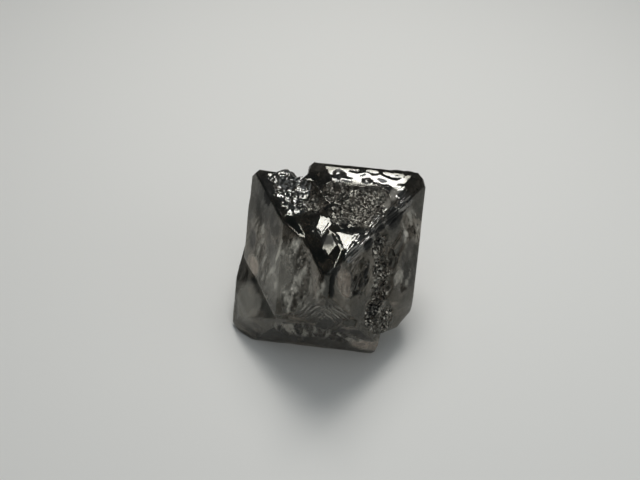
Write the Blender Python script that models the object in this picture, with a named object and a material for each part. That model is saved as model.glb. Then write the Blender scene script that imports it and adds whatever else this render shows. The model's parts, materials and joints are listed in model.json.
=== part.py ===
# Rough diamond octahedron: one natural crystal that lies on one of its eight flat faces.
#
# Every growth block is the same octahedron with its faces at other distances from the
# centre, so all steps and ledges run along octahedral directions, as on the real mineral.
# Etched basins, hollows and trigons are cut last. Meshes are in millimetres from the
# crystal's centre, and the empty that carries them scales them to metres.

import math
from itertools import combinations

import bmesh
import bpy
from mathutils import Matrix, Vector, noise

MM = 0.001                  # metres in a millimetre

# Driving dimensions
CRYSTAL_HEIGHT = 6.0        # flat bottom face to flat top face
HALF = CRYSTAL_HEIGHT / 2
FOOTPRINT_MIDDLE = (-0.202, -0.047)   # middle of the outline seen from above, from the centre
EDGE_WEAR = 0.035           # how much of each sharp edge is worn off
CORNER_WEAR = 0.09          # how much of each corner is worn off
TRIGON_DEPTH = 0.07         # triangular etch pits on the back and side faces
SPECK = 0.003               # edges shorter than this are closed up
DIP = math.acos(1 / 3)      # angle between the normals of neighbouring faces


def slanted_normal(heading, upward):
    turn = math.radians(heading)
    reach = math.sin(DIP)
    return Vector((reach * math.cos(turn), reach * math.sin(turn), upward * math.cos(DIP)))


NORMALS = {
    "top": Vector((0, 0, 1)),
    "back": slanted_normal(90, 1),
    "left": slanted_normal(210, 1),
    "right": slanted_normal(330, 1),
    "bottom": Vector((0, 0, -1)),
    "front": slanted_normal(270, -1),
    "back_right": slanted_normal(30, -1),
    "back_left": slanted_normal(150, -1),
}

# Growth blocks: distance of each face from the crystal's centre, then the slanted facets
# that blunt its edges, each as its shares of neighbouring normals and its distance
BLOCKS = {
    "main": {
        "faces": {
            "top": HALF - 0.15,
            "back": 3.42,
            "left": 2.54,
            "right": 2.88,
            "bottom": 1.75,
            "front": 3.14,
            "back_right": 3.02,
            "back_left": 1.3,
        },
        "facets": [
            ({"top": 1, "left": 0.37}, 3.09),
            ({"left": 1, "right": 1}, 4.52),
            ({"right": 1, "bottom": 1}, 3.97),
            ({"right": 1, "front": 1, "bottom": 1.43}, 3.48),
        ],
    },
    "left_block": {
        "faces": {
            "top": HALF - 0.25,
            "back": 2.80,
            "left": 2.88,
            "right": 1.0,
            "bottom": 0.6,
            "front": 3.1,
            "back_right": 1.6,
            "back_left": 3.10,
        },
        "facets": [({"left": 1, "right": 0.3}, 3.029)],
    },
    "front_shelf": {
        "faces": {
            "top": HALF - 0.26,
            "back": 1.0,
            "left": 2.53,
            "right": 2.86,
            "bottom": 0.6,
            "front": 3.12,
            "back_right": 1.6,
            "back_left": 2.6,
        },
        "facets": [({"left": 1, "right": 1}, 4.50)],
    },
    "slab": {
        "faces": {
            "top": 0.0,
            "back": 3.1,
            "left": 3.12,
            "right": 2.62,
            "bottom": HALF,
            "front": 3.28,
            "back_right": 1.70,
            "back_left": 3.44,
        },
        "facets": [
            ({"top": 0.35, "left": 1}, 2.191),
            ({"left": 1, "front": 1}, 3.60),
            ({"right": 1, "back_right": 1, "bottom": 0.2}, 2.55),
        ],
    },
    "front_ledge": {
        "faces": {
            "top": 0.12,
            "back": 1.0,
            "left": 1.75,
            "right": 2.74,
            "bottom": 1.2,
            "front": 3.24,
            "back_right": 1.5,
            "back_left": 0.8,
        },
        "facets": [],
    },
    "lower_lobe": {
        "faces": {
            "top": 0.28,
            "back": 0.5,
            "left": 1.00,
            "right": 2.85,
            "bottom": 1.12,
            "front": 3.37,
            "back_right": 2.4,
            "back_left": 0.3,
        },
        "facets": [({"right": 1, "front": 1, "bottom": 1.43}, 3.58)],
    },
}

LAYER_GAP = 0.004           # how far each thin layer is drawn in behind the one before it

# Nested growth plates: block, face, sides they draw back from, count, rise, inset
PLATES = [
    ("main", "top", ("right",), 3, 0.05, 0.05),
    ("main", "front", ("left", "right"), 3, 0.045, 0.22),
    ("main", "back", ("top", "back_left", "back_right"), 3, 0.05, 0.25),
    ("main", "back_right", ("right", "back"), 3, 0.05, 0.40),
    ("slab", "back_left", ("left", "back", "top"), 3, 0.05, 0.35),
    ("slab", "left", ("front", "back_left"), 2, 0.04, 0.45),
]

# Basins with a sloping floor: faces that bound them, distance of the floor, and its slope
# up towards the back
BASIN_TOP = HALF + 0.5
BASINS = [
    # the melted strip along the back edge, then the right, left and narrow facets at the tip
    ({"back": 3.20, "left": 0.45, "right": 2.40, "front": -2.32}, -2.621, 0.15),
    ({"back": -0.45, "left": 1.50, "right": 2.72}, -3.237, 0.20),
    ({"back": 0.30, "left": 1.95, "right": 1.60}, -3.090, 0.20),
    ({"back": -0.45, "left": 2.10, "back_right": -1.62, "right": 2.30}, -3.237, 0.20),
]

# Etched hollows: face, middle from the centre, half width across and up the face, depth
HOLLOWS = [
    # big pit in the top face, and the small round lobe at its left
    ("top", (0.86, -0.10, 3.0), (1.18, 1.50), 0.34),
    ("top", (1.45, 0.62, 3.0), (0.80, 0.90), 0.36),
    ("top", (-0.14, 0.82, 3.0), (0.42, 0.62), 0.27),
    # channel from the pit to the left block, and the notch in the back edge
    ("top", (-0.85, 0.02, 2.95), (0.78, 0.66), 0.30),
    ("top", (-1.50, 0.62, 2.85), (0.80, 0.78), 0.30),
    ("top", (-2.10, 1.25, 2.75), (0.66, 0.78), 0.22),
    ("top", (-1.72, 2.20, 2.95), (0.54, 1.05), 0.60),
    # smooth hollows beside the front ridge
    ("right", (0.82, -3.12, 2.00), (0.40, 0.78), 0.15),
    ("right", (1.32, -2.60, 1.72), (0.66, 0.78), 0.13),
    # etched strip down the right face
    ("right", (2.05, -0.95, 2.35), (0.48, 0.50), 0.24),
    ("right", (2.35, -1.15, 1.45), (0.74, 0.95), 0.20),
    ("right", (2.25, -1.85, 0.65), (0.72, 0.80), 0.19),
    ("right", (2.90, -1.10, 0.15), (0.60, 0.66), 0.14),
    ("right", (1.95, -2.70, 0.20), (0.46, 0.52), 0.15),
    # frosted dish in the left face
    ("left", (-0.72, -2.45, 2.38), (0.42, 0.60), 0.05),
    ("left", (-0.72, -3.22, 1.31), (0.48, 0.80), 0.07),
]
OUTLINE_WANDER = 0.16       # part of a hollow's size that its outline wanders
OUTLINE_GRAIN = 2.4         # waves of that wander a millimetre
LUMP_HEIGHT = 0.06          # lumps inside a hollow
LUMP_GRAIN = 4.5            # lumps a millimetre

# Trigons: face, its distance there, place across and up the face, half width
TRIGONS = [
    ("back", 3.57, (-1.05, 0.65), 0.26),
    ("back", 3.57, (-0.45, 0.80), 0.12),
    ("back", 3.42, (-2.10, 1.73), 0.14),
    ("back", 3.42, (-1.05, -1.45), 0.20),
    ("back_right", 3.17, (0.30, 0.75), 0.34),
    ("back_right", 3.17, (-0.25, 1.55), 0.18),
    ("back_right", 3.17, (0.85, 0.35), 0.14),
    ("back_right", 3.02, (2.60, -0.12), 0.16),
    ("back_left", 3.59, (0.10, -0.90), 0.32),
    ("back_left", 3.59, (-0.70, -1.30), 0.18),
    ("back_left", 3.59, (0.85, -1.25), 0.14),
]


def clear_scene():
    for item in list(bpy.data.objects):
        bpy.data.objects.remove(item, do_unlink=True)


def make_collection(name):
    collection = bpy.data.collections.new(name)
    bpy.context.scene.collection.children.link(collection)
    return collection


def add_object(name, bm, collection, parent):
    mesh = bpy.data.meshes.new(name)
    bm.to_mesh(mesh)
    bm.free()
    item = bpy.data.objects.new(name, mesh)
    item.parent = parent
    collection.objects.link(item)
    return item


def add_guide(name, bm, collection, parent):
    guide = add_object(name, bm, collection, parent)
    guide.hide_render = True
    guide.display_type = "WIRE"
    return guide


def slice_off(bm, normal, distance):
    """Remove what lies beyond the plane and close the cut."""
    parts = bm.verts[:] + bm.edges[:] + bm.faces[:]
    cut = bmesh.ops.bisect_plane(
        bm, geom=parts, plane_co=normal * distance, plane_no=normal, clear_outer=True)
    rim = [edge for edge in cut["geom_cut"] if isinstance(edge, bmesh.types.BMEdge)]
    if rim:
        bmesh.ops.holes_fill(bm, edges=rim)


def wear_off(bm, direction, depth):
    """Flatten whatever reaches furthest in a direction."""
    tip = max(vert.co.dot(direction) for vert in bm.verts)
    slice_off(bm, direction, tip - depth)


def cut_block(faces, facets):
    """A cube cut down to the faces and facets given."""
    bm = bmesh.new()
    bmesh.ops.create_cube(bm, size=20)
    for face, distance in faces.items():
        slice_off(bm, NORMALS[face], distance)
    for shares, distance in facets:
        facing = sum((NORMALS[face] * share for face, share in shares.items()), Vector())
        slice_off(bm, facing.normalized(), distance)
    return bm


def growth_block(name, changes=None, draw_in=0):
    """An octahedron with its edges and corners worn; all its faces may be drawn in a little."""
    faces = {**BLOCKS[name]["faces"], **(changes or {})}
    faces = {face: distance - draw_in for face, distance in faces.items()}
    facets = [(shares, distance - draw_in) for shares, distance in BLOCKS[name]["facets"]]
    bm = cut_block(faces, facets)
    for one, other in combinations(faces, 2):
        turned = NORMALS[one].dot(NORMALS[other])
        blunted = any(one in shares and other in shares for shares, distance in facets)
        if abs(turned) < 0.5 and not blunted:
            depth = EDGE_WEAR if turned > 0 else CORNER_WEAR
            wear_off(bm, (NORMALS[one] + NORMALS[other]).normalized(), depth)
    bmesh.ops.recalc_face_normals(bm, faces=bm.faces[:])
    return bm


def basin(sides, floor_distance, slope):
    """A block over the top face whose underside is the basin's floor."""
    floor = ({"bottom": 1, "back": slope}, floor_distance)
    bm = cut_block({"top": BASIN_TOP, **sides}, [floor])
    bmesh.ops.recalc_face_normals(bm, faces=bm.faces[:])
    return bm


def face_frame(face):
    """Rotation whose z is the face's normal and whose y runs up the slope."""
    normal = NORMALS[face]
    across = Vector((1, 0, 0))
    if face != "top":
        across = Vector((0, 0, 1)).cross(normal).normalized()
    return Matrix((across, normal.cross(across), normal)).transposed()


def hollow(face, middle, half_widths, depth):
    """A lumpy, flattened ball that sinks to the given depth below the face."""
    lift = 0.6 * depth
    radii = Vector((*half_widths, depth + lift))
    frame = face_frame(face)
    middle = Vector(middle) + NORMALS[face] * lift
    bm = bmesh.new()
    rings = 4 if max(half_widths) > 0.7 else 3
    bmesh.ops.create_icosphere(bm, subdivisions=rings, radius=1)
    for vert in bm.verts:
        reach = frame @ (vert.co * radii)
        wander = 1 + noise.noise((middle + reach) * OUTLINE_GRAIN) * OUTLINE_WANDER
        lump = noise.noise((middle + reach) * LUMP_GRAIN) * LUMP_HEIGHT
        vert.co = middle + reach * wander + NORMALS[face] * lump
    return bm


def trigon(face, distance, place, half_width):
    """A three-sided pyramid that sinks into a face, its point down."""
    bm = bmesh.new()
    bmesh.ops.create_cone(
        bm, cap_ends=True, segments=3, radius1=0, radius2=2 * half_width, depth=2 * TRIGON_DEPTH)
    bmesh.ops.remove_doubles(bm, verts=bm.verts[:], dist=0.0001)
    bmesh.ops.recalc_face_normals(bm, faces=bm.faces[:])
    frame = face_frame(face)
    middle = NORMALS[face] * distance + frame @ Vector((*place, 0))
    bmesh.ops.transform(bm, matrix=Matrix.Translation(middle) @ frame.to_4x4(), verts=bm.verts[:])
    return bm


def diamond_material():
    material = bpy.data.materials.new("rough_diamond")
    material.use_nodes = True
    shader = material.node_tree.nodes["Principled BSDF"]
    shader.inputs["Base Color"].default_value = (0.42, 0.40, 0.38, 1)
    shader.inputs["Roughness"].default_value = 0.12
    shader.inputs["Metallic"].default_value = 0
    material.diffuse_color = (0.42, 0.40, 0.38, 1)
    return material


def combine(target, operation, collection):
    modifier = target.modifiers.new(collection.name, "BOOLEAN")
    modifier.operation = operation
    modifier.operand_type = "COLLECTION"
    modifier.collection = collection
    modifier.solver = "EXACT"


def freeze(item):
    """Apply the Booleans and close up the specks they leave where planes nearly meet."""
    evaluated = item.evaluated_get(bpy.context.evaluated_depsgraph_get())
    bm = bmesh.new()
    bm.from_mesh(evaluated.to_mesh())
    item.modifiers.clear()
    bmesh.ops.remove_doubles(bm, verts=bm.verts[:], dist=SPECK)
    bmesh.ops.triangulate(bm, faces=bm.faces[:])
    bmesh.ops.dissolve_degenerate(bm, edges=bm.edges[:], dist=SPECK)
    bmesh.ops.triangulate(bm, faces=bm.faces[:])
    bm.to_mesh(item.data)
    bm.free()


def build():
    clear_scene()
    part = make_collection("rough_diamond_octahedron")
    blocks = make_collection("growth_blocks")
    cutters = make_collection("etch_cutters")
    centre = bpy.data.objects.new("crystal_centre", None)
    centre.location = Vector((-FOOTPRINT_MIDDLE[0], -FOOTPRINT_MIDDLE[1], HALF)) * MM
    centre.scale = (MM, MM, MM)
    part.objects.link(centre)

    crystal = add_object("diamond_crystal", growth_block("main"), part, centre)
    crystal.data.materials.append(diamond_material())
    for name in list(BLOCKS)[1:]:
        add_guide(name, growth_block(name), blocks, centre)
    # Each thin layer is drawn in by its own amount, so no two of them share a plane
    draw_in = 0
    for name, face, sides, count, rise, inset in PLATES:
        faces = BLOCKS[name]["faces"]
        for step in range(1, count + 1):
            draw_in += LAYER_GAP
            changes = {side: faces[side] - inset * step for side in sides}
            changes[face] = faces[face] + rise * step + draw_in
            add_guide(face + "_plate", growth_block(name, changes, draw_in), blocks, centre)

    for sides, floor_distance, slope in BASINS:
        add_guide("basin", basin(sides, floor_distance, slope), cutters, centre)
    for face, middle, half_widths, depth in HOLLOWS:
        add_guide("hollow", hollow(face, middle, half_widths, depth), cutters, centre)
    for face, distance, place, half_width in TRIGONS:
        add_guide("trigon", trigon(face, distance, place, half_width), cutters, centre)

    combine(crystal, "UNION", blocks)
    combine(crystal, "DIFFERENCE", cutters)
    freeze(crystal)


build()
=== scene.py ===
import json
import math

import bpy
import numpy as np
from mathutils import Matrix, Vector


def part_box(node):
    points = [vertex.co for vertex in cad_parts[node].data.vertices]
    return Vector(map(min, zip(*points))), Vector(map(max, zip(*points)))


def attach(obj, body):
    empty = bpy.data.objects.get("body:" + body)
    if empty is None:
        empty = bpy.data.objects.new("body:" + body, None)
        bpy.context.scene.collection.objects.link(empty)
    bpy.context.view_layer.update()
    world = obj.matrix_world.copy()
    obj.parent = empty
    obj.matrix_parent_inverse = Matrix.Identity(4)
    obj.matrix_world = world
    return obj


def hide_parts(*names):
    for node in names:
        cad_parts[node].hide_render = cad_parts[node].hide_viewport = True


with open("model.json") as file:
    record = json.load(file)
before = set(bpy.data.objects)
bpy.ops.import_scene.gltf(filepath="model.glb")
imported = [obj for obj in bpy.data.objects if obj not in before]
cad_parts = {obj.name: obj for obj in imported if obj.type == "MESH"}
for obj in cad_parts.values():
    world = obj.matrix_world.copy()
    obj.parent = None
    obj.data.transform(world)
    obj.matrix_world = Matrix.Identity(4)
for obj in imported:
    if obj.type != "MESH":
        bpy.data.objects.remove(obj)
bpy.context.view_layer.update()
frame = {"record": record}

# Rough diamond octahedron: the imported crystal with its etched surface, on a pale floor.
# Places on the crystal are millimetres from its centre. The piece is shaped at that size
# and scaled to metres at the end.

scene = bpy.context.scene
mm = 0.001

crystal = {
    "node": "diamond_crystal",
    "slot": frame["record"]["materials"][0]["slot"],
    "centre": (0.202, 0.047, 3.0),      # of the octahedron, from the floor's origin
    "weld": 0.0005,                     # mm, corners closer than this are merged
    "voxel": 0.032,                     # mm
    "smoothing": 0.5,                   # how far one step evens the surface out
    "softenSteps": 1,                   # over the whole crystal
    "ridgeSteps": 120,                  # where its edges are rounded off
    # how far each place stands out in mm, and which way
    "swells": {"bulge": (0.16, "NORMAL"), "leftSide": (0.06, "NORMAL"), "hump": (0.20, "Z")},
    "triangles": 180000,
    "rim": 0.40,                        # share of a blob's reach in which it fades out
    "facing": 0.75,                     # cosine at which a finish sets in
    "facingRim": 0.15,                  # and how much later it is full
    "faintest": 0.01,                   # a weaker pull on a point is left out
}


def selectOnly(obj):
    bpy.ops.object.select_all(action="DESELECT")
    obj.select_set(True)
    bpy.context.view_layer.objects.active = obj


def applyModifier(obj, kind, **settings):
    modifier = obj.modifiers.new(kind.lower(), kind)
    for name, value in settings.items():
        setattr(modifier, name, value)
    selectOnly(obj)
    bpy.ops.object.modifier_apply(modifier=modifier.name)


def applyPlace(obj):
    selectOnly(obj)
    bpy.ops.object.transform_apply(location=True, rotation=True, scale=True)


def pointValues(obj, what):
    # one row of x, y and z for each point of the mesh
    flat = np.empty(len(obj.data.vertices) * 3)
    obj.data.vertices.foreach_get(what, flat)
    return flat.reshape(-1, 3)


def copyOfNode(name):
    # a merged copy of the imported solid, in millimetres from the crystal's centre
    copy = bpy.data.objects.new("rough_diamond", bpy.data.objects[name].data.copy())
    scene.collection.objects.link(copy)
    copy.scale = (1 / mm, 1 / mm, 1 / mm)
    copy.location = -Vector(crystal["centre"])
    applyPlace(copy)
    bpy.ops.object.mode_set(mode="EDIT")
    bpy.ops.mesh.select_all(action="SELECT")
    bpy.ops.mesh.remove_doubles(threshold=crystal["weld"])
    bpy.ops.object.mode_set(mode="OBJECT")
    return copy


# Where the form changes before it is etched: blobs by place and reach, fading at the rim
forms = {
    # the right and left sides swell out
    "bulge": [
        ((3.30, -0.40, 0.30), (1.30, 2.20, 2.00)),
    ],
    "leftSide": [
        ((-3.70, 0.00, 0.60), (1.10, 2.00, 2.20)),
        ((-3.90, -0.40, -0.90), (0.70, 0.90, 0.80)),
    ],
    # the left block is higher beside the notch
    "hump": [
        ((-1.98, 1.76, 2.60), (0.66, 0.58, 0.60)),
    ],
    # the front edge and the right corner are rounded off
    "ridge": [
        ((3.50, -0.85, -1.50), (0.90, 1.40, 0.95)),
        ((0.15, -3.72, 2.20), (0.80, 0.80, 1.10)),
    ],
}

# Zones of the surface, in blobs too
zones = {
    # finely etched floor of the big pit and of its lobe
    "pit": [
        ((1.10, 0.20, 2.75), (1.15, 1.30, 0.50)),
        ((1.55, 0.80, 2.75), (0.80, 0.85, 0.50)),
        ((0.00, 0.95, 2.80), (0.60, 0.75, 0.45)),
        ((0.25, -0.35, 2.75), (0.60, 0.60, 0.40)),
        ((-0.85, 0.20, 2.65), (0.60, 0.60, 0.45)),
    ],
    # coarse bright bubbles on the left block and in the notch
    "bubbles": [
        ((-1.90, 0.95, 2.65), (0.80, 0.95, 0.50)),
        ((-2.30, 1.60, 2.70), (0.75, 0.50, 0.45)),
        ((-1.60, 0.30, 2.70), (0.70, 0.60, 0.45)),
        ((-1.30, 1.40, 2.50), (0.60, 0.80, 0.60)),
        ((-1.45, -0.30, 2.80), (0.50, 0.40, 0.35)),
    ],
    # melted-looking band inside the back edge and down the pit's right rim
    "band": [
        ((0.20, 1.90, 2.95), (0.75, 0.42, 0.35)),
        ((1.20, 1.95, 2.95), (1.10, 0.45, 0.35)),
        ((2.10, 1.90, 2.95), (0.80, 0.45, 0.35)),
        ((2.40, 1.30, 2.95), (0.40, 0.70, 0.35)),
    ],
    # bright lip round the pit's right side, from a coat and a painted highlight in a milky skin
    "lip": [
        ((2.42, 1.45, 2.90), (0.22, 0.50, 0.30)),
        ((2.30, 0.95, 2.90), (0.20, 0.50, 0.30)),
        ((2.08, 0.45, 2.90), (0.20, 0.45, 0.30)),
    ],
    # clean bright facets at the front tip
    "tip": [
        ((-0.33, -1.25, 2.92), (0.50, 0.65, 0.30)),
        ((0.80, -1.80, 2.92), (0.75, 0.55, 0.30)),
    ],
    # fine steps side by side along the top's right edge
    "terraces": [
        ((2.75, 0.75, 2.78), (0.45, 0.75, 0.35)),
        ((2.30, 0.00, 2.78), (0.45, 0.75, 0.35)),
        ((1.85, -0.80, 2.78), (0.45, 0.75, 0.35)),
        ((1.40, -1.60, 2.78), (0.45, 0.75, 0.35)),
        ((1.00, -2.30, 2.75), (0.40, 0.65, 0.35)),
    ],
    # frosted and streaked: left face beside the front ridge
    "frost": [
        ((-0.75, -2.75, 1.50), (0.65, 1.00, 1.30)),
        ((-1.15, -2.10, 2.00), (0.60, 0.90, 0.90)),
        ((-1.20, -2.95, 0.60), (0.60, 0.70, 0.80)),
    ],
    # rough strip down the right face, with painted glints and painted shade in small cells
    "strip": [
        ((1.95, -1.20, 2.25), (0.45, 0.60, 0.60)),
        ((2.15, -1.50, 1.30), (0.50, 0.75, 0.85)),
        ((2.10, -1.90, 0.45), (0.60, 0.75, 0.75)),
        ((1.95, -2.70, -0.15), (0.55, 0.70, 0.65)),
        ((2.45, -2.45, -0.75), (0.70, 0.85, 0.55)),
    ],
    # milky wisps in the left face and on the right face's far side, partly painted internal
    # reflections
    "wispy": [
        ((-2.95, -0.05, 1.30), (0.40, 0.70, 0.65)),
        ((-2.75, -0.80, 0.55), (0.70, 0.95, 1.10)),
        ((-2.25, -1.90, 0.30), (0.80, 0.90, 1.10)),
        ((-1.75, -1.60, 1.50), (0.75, 0.90, 1.10)),
        ((-0.10, -3.72, 2.15), (0.36, 0.45, 0.70)),
        ((3.10, 0.50, 1.60), (0.60, 0.90, 1.10)),
        ((2.95, -0.70, 0.30), (0.50, 0.80, 0.90)),
    ],
    # slanted grooves in the hollow beside the ridge, with painted shade in dark streaks along them
    "grooves": [
        ((1.25, -2.45, 1.75), (0.75, 0.95, 0.95)),
    ],
    # painted shade: dark glass and skin for the deep shade under the top's right edge and in the
    # right face's pits
    "shade": [
        ((2.50, 0.05, 2.50), (0.42, 0.75, 0.32)),
        ((1.95, -1.05, 2.30), (0.35, 0.40, 0.35)),
        ((1.95, -2.55, -0.05), (0.40, 0.45, 0.35)),
        ((1.05, -2.78, 1.75), (0.10, 0.16, 0.60)),
        ((1.55, -2.20, 1.60), (0.12, 0.16, 0.35)),
        ((0.05, -1.95, 2.92), (0.30, 0.42, 0.28)),
        ((2.38, -0.08, 2.70), (0.42, 0.60, 0.34)),
        ((1.90, -0.85, 2.64), (0.34, 0.50, 0.26)),
        ((1.50, -1.55, 2.58), (0.30, 0.45, 0.26)),
        ((0.46, -3.32, 2.72), (0.22, 0.24, 0.20)),
        ((0.64, -3.20, 2.60), (0.28, 0.30, 0.28)),
        ((0.42, -3.62, 2.52), (0.12, 0.30, 0.35)),
        ((0.45, -3.84, 2.20), (0.10, 0.25, 0.35)),
        ((-2.72, 0.40, 2.60), (0.28, 0.60, 0.26)),
    ],
    # painted shade: darker glass and skin at the top of the left face and on the right face's far
    # side
    "dim": [
        ((3.25, -0.30, 0.50), (0.60, 1.10, 1.40)),
        ((-3.25, 0.00, 0.60), (0.40, 0.45, 0.55)),
        ((-2.85, 0.70, 2.20), (0.60, 1.60, 1.00)),
        ((-2.30, -0.80, 2.30), (0.50, 0.90, 0.60)),
    ],
    # painted light: a pale brownish skin on the slab's shoulder, the hollow beside the ridge and
    # the foot
    "warm": [
        ((-3.10, -0.80, -0.10), (0.42, 0.62, 0.50)),
        ((-3.30, -0.55, -0.15), (0.35, 0.40, 0.45)),
        ((0.78, -3.08, 1.80), (0.50, 0.55, 0.95)),
        ((1.90, -2.80, -2.10), (0.90, 0.60, 0.70)),
    ],
    # painted light: an even milky skin that lightens the slab's front side and shoulder, and the
    # left face's middle
    "pale": [
        ((-3.25, -1.60, -1.50), (0.80, 1.20, 0.95)),
        ((-1.80, -2.10, 1.05), (0.95, 1.10, 1.60)),
        ((-3.05, -0.80, -0.05), (0.38, 0.58, 0.48)),
        ((-2.88, -2.05, -1.15), (0.45, 0.60, 0.65)),
    ],
    # one chalky fleck near the right side
    "chalk": [
        ((2.94, 0.14, 1.65), (0.15, 0.15, 0.30)),
    ],
    # growth lines on the small front face, each a chevron under the front edge
    "chevrons": [
        ((0.20, -3.75, 0.85), (1.60, 0.45, 0.75)),
    ],
    # streaked band below the ledge
    "lower": [
        ((-0.80, -3.10, -1.20), (1.40, 0.70, 0.85)),
        ((0.80, -3.00, -1.30), (1.30, 0.70, 0.80)),
    ],
}

# Faces with a finish all over, by the way they look
finishes = {
    "frosted": [(0, 0, -1), (0, 0.94, 0.33), (-0.82, 0.47, -0.33), (0.82, 0.47, -0.33)],
    "satin": [(-0.82, -0.47, 0.33), (0.82, -0.47, 0.33), (-0.5, -0.87, 0), (0, -0.82, 0.58),
              (-0.61, -0.65, 0.46), (-0.70, -0.41, 0.59)],
}


def blobWeights(obj, blobs):
    places = pointValues(obj, "co")
    weights = np.zeros(len(places))
    for middle, reach in blobs:
        away = np.linalg.norm((places - middle) / np.array(reach), axis=1)
        blob = np.clip((1 - away) / crystal["rim"], 0, 1)
        weights = np.maximum(weights, blob * blob * (3 - 2 * blob))     # eased at both ends
    return weights


def finishWeights(obj, directions):
    along = (pointValues(obj, "normal") @ np.array(directions).T).max(axis=1)
    return np.clip((along - crystal["facing"]) / crystal["facingRim"], 0, 1)


def zoneWeights(obj, name):
    if name in finishes:
        return finishWeights(obj, finishes[name])
    return blobWeights(obj, zones[name])


def addGroup(obj, name, weights):
    group = obj.vertex_groups.new(name=name)
    for index, weight in enumerate(weights):
        if weight > crystal["faintest"]:
            group.add([index], float(weight), "REPLACE")


# Relief: texture kind and depth, size and height in mm, zone (none is everywhere),
# and the line it is drawn out along, so many times
upright = (0.0, 0.0, 1.0)
grooveLine = (0.33, 0.72, 0.61)
edgeLine = (0.5, 0.866, 0.0)
relief = [
    {"kind": "CLOUDS", "depth": 1, "size": 0.90, "height": 0.030, "zone": ""},
    {"kind": "CLOUDS", "depth": 2, "size": 0.60, "height": 0.160, "zone": "frosted"},
    {"kind": "CLOUDS", "depth": 3, "size": 0.45, "height": 0.020, "zone": "satin",
     "along": upright, "stretch": 2.5},
    {"kind": "CLOUDS", "depth": 3, "size": 0.30, "height": 0.060, "zone": "wispy",
     "along": upright, "stretch": 2.5},
    {"kind": "CLOUDS", "depth": 1, "size": 0.11, "height": 0.036, "zone": "tip",
     "along": edgeLine, "stretch": 7},
    {"kind": "CLOUDS", "depth": 0, "size": 0.36, "height": 0.120, "zone": "band"},
    {"kind": "VORONOI", "size": 0.31, "height": 0.170, "zone": "bubbles"},
    {"kind": "CLOUDS", "depth": 0, "size": 0.40, "height": 0.160, "zone": "pit"},
    {"kind": "CLOUDS", "depth": 1, "size": 0.09, "height": 0.050, "zone": "pit"},
    {"kind": "CLOUDS", "depth": 1, "size": 0.12, "height": 0.190, "zone": "terraces",
     "along": edgeLine, "stretch": 9},
    {"kind": "CLOUDS", "depth": 2, "size": 0.11, "height": 0.110, "zone": "frost",
     "along": upright, "stretch": 3},
    {"kind": "CLOUDS", "depth": 1, "size": 0.28, "height": 0.260, "zone": "grooves",
     "along": grooveLine, "stretch": 6},
    {"kind": "VORONOI", "size": 0.28, "height": 0.300, "zone": "strip"},
    {"kind": "CLOUDS", "depth": 1, "size": 0.12, "height": 0.080, "zone": "strip"},
    {"kind": "CLOUDS", "depth": 1, "size": 0.18, "height": 0.180, "zone": "lower",
     "along": upright, "stretch": 6},
]


def addGuide(layer):
    # an empty whose long axis draws the texture out
    guide = bpy.data.objects.new("guide", None)
    scene.collection.objects.link(guide)
    guide.rotation_euler = Vector(layer["along"]).to_track_quat("Z", "Y").to_euler()
    guide.scale = (1, 1, layer["stretch"])
    bpy.context.view_layer.update()
    return guide


def addGroups(obj):
    # one for each change of form and one for each zone that the relief names
    for name, blobs in forms.items():
        addGroup(obj, name, blobWeights(obj, blobs))
    for name in dict.fromkeys(layer["zone"] for layer in relief if layer["zone"]):
        addGroup(obj, name, zoneWeights(obj, name))


def changeForm(obj):
    for name, (height, direction) in crystal["swells"].items():
        applyModifier(obj, "DISPLACE", strength=height, mid_level=0.0, direction=direction,
                      vertex_group=name)
    applyModifier(obj, "SMOOTH", factor=crystal["smoothing"], iterations=crystal["ridgeSteps"],
                  vertex_group="ridge")


def addRelief(obj):
    for layer in relief:
        texture = bpy.data.textures.new("relief" + layer["zone"].title(), layer["kind"])
        texture.noise_scale = layer["size"]
        if "depth" in layer:
            texture.noise_depth = layer["depth"]
        settings = {"texture": texture, "strength": layer["height"], "mid_level": 0.5,
                    "vertex_group": layer["zone"], "texture_coords": "LOCAL"}
        if "along" in layer:
            guide = addGuide(layer)
            settings.update(texture_coords="OBJECT", texture_coords_object=guide)
        applyModifier(obj, "DISPLACE", **settings)
        if "along" in layer:
            bpy.data.objects.remove(guide)


def keepInside(obj, box):
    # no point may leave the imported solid's box
    lowest, highest = (np.array(corner) / mm - crystal["centre"] for corner in box)
    places = np.clip(pointValues(obj, "co"), lowest, highest)
    obj.data.vertices.foreach_set("co", places.ravel())
    obj.data.update()


def saveZones(obj):
    # the material reads these to know where it is
    for name in list(zones) + list(finishes):
        attribute = obj.data.attributes.new(name, "FLOAT", "POINT")
        attribute.data.foreach_set("value", zoneWeights(obj, name))


def makeCrystal():
    obj = copyOfNode(crystal["node"])
    applyModifier(obj, "REMESH", mode="VOXEL", voxel_size=crystal["voxel"], use_smooth_shade=True)
    applyModifier(obj, "SMOOTH", factor=crystal["smoothing"], iterations=crystal["softenSteps"])
    print("remeshed:", len(obj.data.polygons), "faces")
    addGroups(obj)
    changeForm(obj)
    addRelief(obj)
    share = crystal["triangles"] / (2 * len(obj.data.polygons))     # two to each square face
    if share < 1:
        applyModifier(obj, "DECIMATE", ratio=share)
    keepInside(obj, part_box(crystal["node"]))
    obj.vertex_groups.clear()
    saveZones(obj)
    obj.scale = (mm, mm, mm)
    obj.location = Vector(crystal["centre"]) * mm
    applyPlace(obj)
    bpy.ops.object.shade_smooth()
    print("etched:", len(obj.data.polygons), "faces")
    return obj


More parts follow.
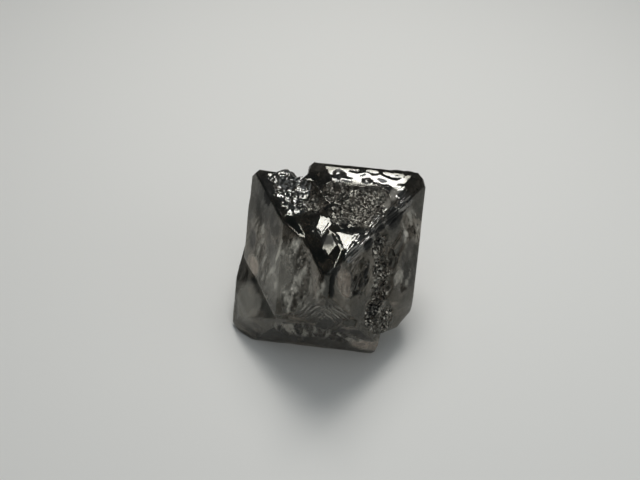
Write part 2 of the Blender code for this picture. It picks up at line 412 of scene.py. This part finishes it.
class Wire:
    # a node's output that sums can be written with
    def __init__(self, paint, output):
        self.paint = paint
        self.output = output

    def math(self, operation, first, second):
        return self.paint.node("ShaderNodeMath", {"operation": operation}, {0: first, 1: second})

    def __add__(self, other):
        return self.math("ADD", self, other)

    def __sub__(self, other):
        return self.math("SUBTRACT", self, other)

    def __rsub__(self, other):
        return self.math("SUBTRACT", other, self)

    def __mul__(self, other):
        return self.math("MULTIPLY", self, other)

    def __truediv__(self, other):
        return self.math("DIVIDE", self, other)

    def __rtruediv__(self, other):
        return self.math("DIVIDE", other, self)

    def __abs__(self):
        return self.paint.node("ShaderNodeMath", {"operation": "ABSOLUTE"}, {0: self})

    __radd__ = __add__
    __rmul__ = __mul__


class Paint:
    # one material being wired up
    def __init__(self, name):
        self.material = bpy.data.materials.new(name)
        self.material.use_nodes = True
        self.tree = self.material.node_tree
        self.tree.nodes.clear()

    def node(self, kind, settings=None, sockets=None, output=0):
        made = self.tree.nodes.new(kind)
        for name, value in (settings or {}).items():
            if name == "stops":
                self.setStops(made.color_ramp, value)
            else:
                setattr(made, name, value)
        for name, value in (sockets or {}).items():
            if isinstance(value, Wire):
                self.tree.links.new(value.output, made.inputs[name])
            else:
                made.inputs[name].default_value = value
        return Wire(self, made.outputs[output])

    def noise(self, place, grain, detail):
        return self.node("ShaderNodeTexNoise", None,
                         {"Vector": place, "Scale": grain, "Detail": detail})

    def ramp(self, stops, value):
        return self.node("ShaderNodeValToRGB", {"stops": stops}, {0: value})

    def mix(self, share, first, second):
        return self.node("ShaderNodeMix", {"data_type": "RGBA"},
                         {0: share, 6: first, 7: second}, output=2)

    def vectors(self, operation, first, second):
        return self.node("ShaderNodeVectorMath", {"operation": operation}, {0: first, 1: second})

    def resized(self, vector, scale):
        return self.node("ShaderNodeVectorMath", {"operation": "SCALE"},
                         {0: vector, "Scale": scale})

    def finish(self, surface, volume=None):
        result = self.tree.nodes.new("ShaderNodeOutputMaterial")
        self.tree.links.new(surface.output, result.inputs["Surface"])
        if volume:
            self.tree.links.new(volume.output, result.inputs["Volume"])
        return self.material

    def setStops(self, ramp, stops):
        while len(ramp.elements) < len(stops):
            ramp.elements.new(0.5)
        for element, (place, grey) in zip(ramp.elements, stops):
            element.position = place
            element.color = (grey, grey, grey, 1)


diamond = {
    "ior": 2.417,
    "sheen": (0.30, 0.297, 0.26, 1),    # the mirror's share at a steep look
    "mirror": 0.5,                  # how much of a full mirror the bright facets have
    # the glass, mottled in patches, and darkened as painted shade in the dim and shaded zones
    "tint": (0.95, 0.93, 0.90, 1),
    "darkTint": (0.30, 0.27, 0.24, 1),
    # painted shade: the glass's colour in the dim zone
    "dimTint": (0.10, 0.10, 0.10, 1),
    "shadeTint": (0.02, 0.02, 0.02, 1),
    "patchNoise": (1.1, 3.0),       # grains a millimetre, then detail, as in every noise here
    "patchStops": [(0.40, 0.0), (0.56, 1.0)],
    "absorbColour": (0.60, 0.57, 0.53, 1),
    "absorbDensity": 560,           # for each metre of path
    # the surface
    "faceRoughness": 0.03,
    "etchRoughness": 0.45,
    "frostingNoise": (4.0, 4.0),
    "etchBump": 0.030,              # mm
    "etchNoise": (9, 3.0),
    "faceBump": 0.006,              # mm
    "faceNoise": (2.2, 2.0),
    "cells": 13,                    # small crystal faces a millimetre
    # the skin, milky and dark just under the surface; much of its milky part is painted light and
    # much of its dark part is painted shade
    "veilColour": (0.76, 0.72, 0.63, 1),
    # the colour of the painted brownish light
    "warmLightColour": (0.85, 0.72, 0.60, 1),
    # painted shade and the skin's other dark marks take this colour
    "shadeAndDarkColour": (0.012, 0.012, 0.011, 1),
    "skinRoughness": 0.5,
    "skinMirror": 0.1,
    "wispNoise": (2.6, 6.0),
    "wispSqueeze": 0.3,             # a smaller squeeze draws a pattern out more
    "wispStops": [(0.52, 0.0), (0.65, 1.0)],
    "streakNoise": (5.0, 3.0),
    "streakStops": [(0.48, 0.0), (0.60, 1.0)],
    "streakSqueeze": 0.05,
    "slashSqueeze": 0.2,
    "glintStops": [(0.74, 0.0), (0.80, 1.0)],
    "shadeSpeckStops": [(0.24, 1.0), (0.30, 0.0)],
    "growthMiddle": 0.22,           # mm
    "growthSlope": 1.66,
    "growthWobble": 0.9,            # mm
    "growthLines": 3.4,             # lines a millimetre
    "growthStops": [(0.66, 0.0), (0.84, 1.0)],
    "tiny": 0.001,                  # keeps clear glass from dividing nothing by nothing
}

# How strong each effect is in each zone or finish
effects = {
    "etching": {"pit": 0.6, "frost": 1.0, "strip": 0.6, "lower": 0.5},
    "sparkle": {"pit": 0.85, "strip": 2.0, "frost": 0.8, "bubbles": 0.4, "lower": 0.5},
    "roughness": {"frosted": 0.35, "satin": 0.12},
    "polish": {"tip": 0.55, "band": 1.0, "bubbles": 1.0, "terraces": 1.0, "lip": 0.3},
    # milky, and partly painted light: painted internal reflections in the wisps, painted glints in
    # small white cells, painted brownish light on the shoulder, in the hollow and at the foot, and
    # painted light in the pale zone and on the lip
    "wisps": {"wispy": 0.50, "frost": 0.55, "strip": 0.12, "frosted": 0.10},
    "paintedGlints": {"strip": 1.0, "pit": 0.25, "frost": 0.3},
    "growth": {"chevrons": 0.50},
    "streaks": {"lower": 0.32},
    "paintedWarmLight": {"warm": 0.52},
    "milkAndLight": {"chalk": 0.60, "pale": 0.20, "lip": 0.20, "frosted": 0.14},
    # dark, and mostly painted shade: streaks in the grooves, small black cells in the strip, the
    # dim zone and the shade zone; the dark between the lower band's streaks is its own pattern
    "shadeSlashes": {"grooves": 0.8},
    "specks": {"strip": 0.9},
    "shadeBetweenWisps": {"dim": 0.40},
    "betweenStreaks": {"lower": 0.12},
    "shadeAndDark": {"shade": 0.93},
}


def addUp(zone, shares):
    # the zones added together, each by its share
    parts = [zone[name] * share for name, share in shares.items()]
    return sum(parts[1:], parts[0])


def crystalFaces(paint, cell, amount):
    # small crystal faces, each tilted its own way by its cell's colour
    tilt = paint.vectors("SUBTRACT", cell, (0.5, 0.5, 0.5))
    straight = paint.node("ShaderNodeNewGeometry", output="Normal")
    turned = paint.vectors("ADD", straight, paint.resized(tilt, amount))
    return paint.node("ShaderNodeVectorMath", {"operation": "NORMALIZE"}, {0: turned})


def drawnOut(paint, place, line, squeeze):
    # noise drawn out along a line
    turned = paint.node("ShaderNodeVectorRotate", {"rotation_type": "EULER_XYZ", "invert": True}, {
        "Vector": place, "Rotation": Vector(line).to_track_quat("Z", "Y").to_euler()})
    squeezed = paint.vectors("MULTIPLY", turned, (1, 1, squeeze))
    return paint.ramp(diamond["streakStops"], paint.noise(squeezed, *diamond["streakNoise"]))


def growthLines(paint, place, wobble):
    # lines that run down both ways from the middle
    across, up = (paint.node("ShaderNodeSeparateXYZ", None, {0: place}, output=axis)
                  for axis in ("X", "Z"))
    aside = abs(across - diamond["growthMiddle"])
    level = up + aside * diamond["growthSlope"] + wobble * diamond["growthWobble"]
    wave = paint.node("ShaderNodeMath", {"operation": "SINE"},
                      {0: level * (diamond["growthLines"] * 2 * math.pi)})
    return paint.ramp(diamond["growthStops"], wave * 0.5 + 0.5)     # from 0 to 1


def diamondMaterial():
    paint = Paint("roughDiamond")
    place = paint.resized(paint.node("ShaderNodeTexCoord", output="Object"), 1 / mm)
    zone = {name: paint.node("ShaderNodeAttribute", {"attribute_name": name}, output="Fac")
            for name in list(zones) + list(finishes)}
    amount = {effect: addUp(zone, shares) for effect, shares in effects.items()}
    cell = paint.node("ShaderNodeTexVoronoi", None,
                      {"Vector": place, "Scale": diamond["cells"]}, output="Color")
    cloud = paint.noise(place, *diamond["patchNoise"])
    frosting = paint.noise(place, *diamond["frostingNoise"])

    # etched grain and small crystal faces over a faint ripple
    grain = paint.noise(place, *diamond["etchNoise"])
    ripple = paint.noise(place, *diamond["faceNoise"])
    height = grain * amount["etching"] * diamond["etchBump"] + ripple * diamond["faceBump"]
    normal = paint.node("ShaderNodeBump", None, {
        "Height": height, "Strength": 1.0, "Distance": mm,
        "Normal": crystalFaces(paint, cell, amount["sparkle"])})
    rough = (amount["etching"] * frosting * diamond["etchRoughness"] + diamond["faceRoughness"]
             + amount["roughness"])

    # the glass
    patch = paint.ramp(diamond["patchStops"], cloud)
    mottled = paint.mix(patch, diamond["darkTint"], diamond["tint"])
    # painted shade: the glass darker in the dim zone and near black in the shade zone
    dimmed = paint.mix(zone["dim"], mottled, diamond["dimTint"])
    colour = paint.mix(zone["shade"], dimmed, diamond["shadeTint"])
    glass = paint.node("ShaderNodeBsdfPrincipled", None, {
        "Base Color": colour, "Roughness": rough, "IOR": diamond["ior"],
        "Specular Tint": diamond["sheen"], "Transmission Weight": 1.0, "Normal": normal,
        "Coat Weight": amount["polish"] * diamond["mirror"], "Coat IOR": diamond["ior"],
        "Coat Roughness": diamond["faceRoughness"]})

    # the skin's patterns
    upDown = paint.vectors("MULTIPLY", place, (1, 1, diamond["wispSqueeze"]))
    wisps = paint.ramp(diamond["wispStops"], paint.noise(upDown, *diamond["wispNoise"]))
    # painted glints: small white cells
    paintedGlints = paint.ramp(diamond["glintStops"], cell)
    # painted shade: small black cells
    specks = paint.ramp(diamond["shadeSpeckStops"], cell)
    streaks = drawnOut(paint, place, upright, diamond["streakSqueeze"])
    # painted shade: dark streaks along the grooves
    shadeSlashes = drawnOut(paint, place, grooveLine, diamond["slashSqueeze"])
    growth = growthLines(paint, place, cloud)

    # how much of it is there, and how much of that is dark; the dark is mostly painted shade
    milkAndLight = (wisps * amount["wisps"] + paintedGlints * amount["paintedGlints"]
            + growth * frosting * amount["growth"] + streaks * amount["streaks"]
            + frosting * amount["paintedWarmLight"] + amount["milkAndLight"])
    shadeAndDark = (shadeSlashes * amount["shadeSlashes"] + specks * amount["specks"] + amount["shadeAndDark"]
            + (1 - wisps) * amount["shadeBetweenWisps"] + (1 - streaks) * amount["betweenStreaks"])
    veil = milkAndLight + shadeAndDark
    # the skin's pale colour, tinted where brownish light is painted
    pale = paint.mix(zone["warm"], diamond["veilColour"], diamond["warmLightColour"])
    skin = paint.node("ShaderNodeBsdfPrincipled", None, {
        "Base Color": paint.mix(shadeAndDark / (veil + diamond["tiny"]), pale, diamond["shadeAndDarkColour"]),
        "Roughness": diamond["skinRoughness"], "Specular IOR Level": diamond["skinMirror"],
        "Normal": normal})
    surface = paint.node("ShaderNodeMixShader", None, {0: veil, 1: glass, 2: skin})
    volume = paint.node("ShaderNodeVolumeAbsorption", None, {
        "Color": diamond["absorbColour"], "Density": diamond["absorbDensity"]})
    return paint.finish(surface, volume)


stage = {
    "floorSize": 0.6,               # m
    "floorColour": (0.77, 0.76, 0.735, 1),
    "floorRoughness": 0.6,
    "floorMirror": 0.2,
    "worldColour": (0.075, 0.088, 0.095, 1),
}


def makeFloor():
    bpy.ops.object.select_all(action="DESELECT")
    bpy.ops.mesh.primitive_plane_add(size=stage["floorSize"])
    floor = bpy.context.active_object
    floor.name = "floor"
    paint = Paint("paleFloor")
    shader = paint.node("ShaderNodeBsdfPrincipled", None, {
        "Base Color": stage["floorColour"], "Roughness": stage["floorRoughness"],
        "Specular IOR Level": stage["floorMirror"]})
    floor.data.materials.append(paint.finish(shader))


# Lights: heading clockwise from behind the crystal, height angle, distance and size in mm
lights = {
    "keySoftbox": {"heading": -2, "rise": 64, "distance": 62, "size": 30, "watts": 0.0240,
                   "colour": (1.0, 0.99, 0.96)},
    "overhead": {"heading": 0, "rise": 90, "distance": 80, "size": 56, "watts": 0.0092,
                 "colour": (0.93, 0.97, 1.0)},
    "rightWindow": {"heading": 105, "rise": 28, "distance": 50, "size": 32, "watts": 0.0022,
                    "colour": (0.92, 0.97, 1.0)},
    "frontCard": {"heading": 183, "rise": 25, "distance": 90, "size": 80, "watts": 0.012,
                  "colour": (0.95, 0.98, 1.0)},
}


def addLight(name, light):
    turn, rise = (math.radians(light[angle]) for angle in ("heading", "rise"))
    away = Vector((math.sin(turn) * math.cos(rise), math.cos(turn) * math.cos(rise),
                   math.sin(rise)))
    data = bpy.data.lights.new(name, "AREA")
    data.shape = "SQUARE"
    data.size = light["size"] * mm
    data.energy = light["watts"]
    data.color = light["colour"]
    lamp = bpy.data.objects.new(name, data)
    scene.collection.objects.link(lamp)
    lamp.location = away * light["distance"] * mm + Vector(crystal["centre"]) * mm
    lamp.rotation_euler = away.to_track_quat("Z", "Y").to_euler()


def makeWorld():
    world = bpy.data.worlds.new("dimRoom")
    world.use_nodes = True
    world.node_tree.nodes["Background"].inputs["Color"].default_value = stage["worldColour"]
    scene.world = world
    scene.view_settings.view_transform = "Standard"


# Camera: angles in degrees, places in mm from the crystal's centre, leaning slightly
view = {
    "heading": 6.28, "height": 44.37, "lean": 1.76, "distance": 32.4,
    "target": (-0.449, -0.304, 1.289),
    "lens": 45, "sensor": 36,
}


def makeCamera():
    turn, rise, lean = (math.radians(view[angle]) for angle in ("heading", "height", "lean"))
    back = Vector((math.sin(turn) * math.cos(rise), -math.cos(turn) * math.cos(rise),
                   math.sin(rise)))
    level = Vector((math.cos(turn), math.sin(turn), 0))
    side = level * math.cos(lean) + back.cross(level) * math.sin(lean)
    data = bpy.data.cameras.new("camera")
    data.lens = view["lens"]
    data.sensor_width = view["sensor"]
    data.clip_start = mm
    camera = bpy.data.objects.new("camera", data)
    scene.collection.objects.link(camera)
    target = Vector(view["target"]) + Vector(crystal["centre"])
    camera.matrix_world = Matrix.Translation((target + back * view["distance"]) * mm) @ Matrix(
        (side, back.cross(side), back)).transposed().to_4x4()
    scene.camera = camera


makeCamera()
makeWorld()
makeFloor()
for name, light in lights.items():
    addLight(name, light)
print("stage ready")

roughDiamond = makeCrystal()
roughDiamond.data.materials.clear()
roughDiamond.data.materials.append(diamondMaterial())
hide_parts(crystal["node"])
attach(roughDiamond, "root")
print("crystal ready")
